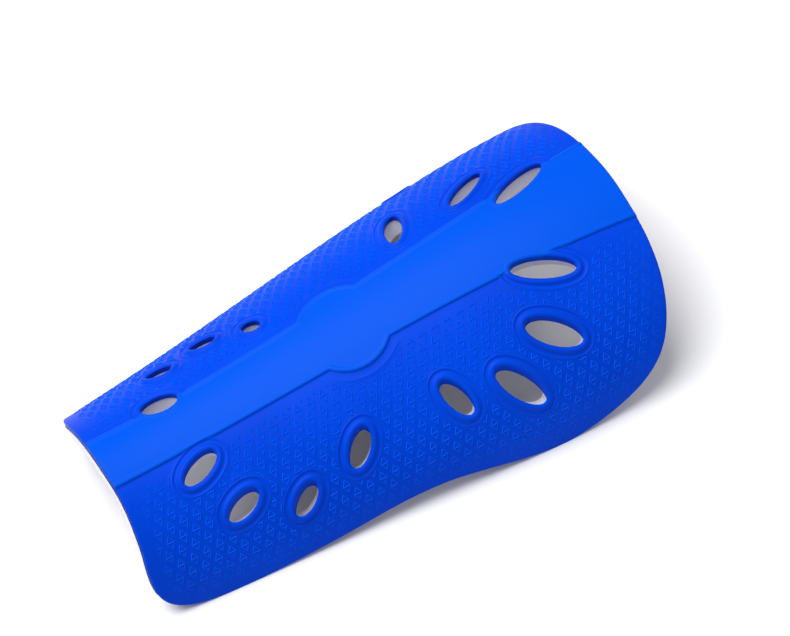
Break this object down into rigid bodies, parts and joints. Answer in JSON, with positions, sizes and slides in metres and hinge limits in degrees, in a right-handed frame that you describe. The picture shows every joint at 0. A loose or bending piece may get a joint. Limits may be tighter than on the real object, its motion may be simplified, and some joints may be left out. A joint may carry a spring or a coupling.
{
  "type": "shin guard",
  "caption": "Slip-in soccer shin guard: a curved blue plastic shell with a raised centre band, diamond relief and rimmed slanting vents, lined with pale foam.",
  "frame": {"origin": "under the middle of the guard, on the flat surface that its side edges rest on", "axes": "+Y along the leg towards the wider knee end, +Z away from the leg, through the ridge of the outer face, +X across the leg"},
  "size_m": [0.1178, 0.204, 0.0459],
  "materials": {
    "shell_plastic": "satin-gloss injection moulding, polypropylene",
    "film_glue": "clear double-sided adhesive film",
    "liner_foam": "matte closed-cell EVA foam, finely speckled"
  },
  "bodies": {
    "root": {"shell": "shell_plastic", "adhesive_film": "film_glue", "foam_liner": "liner_foam"}
  },
  "joints": []
}
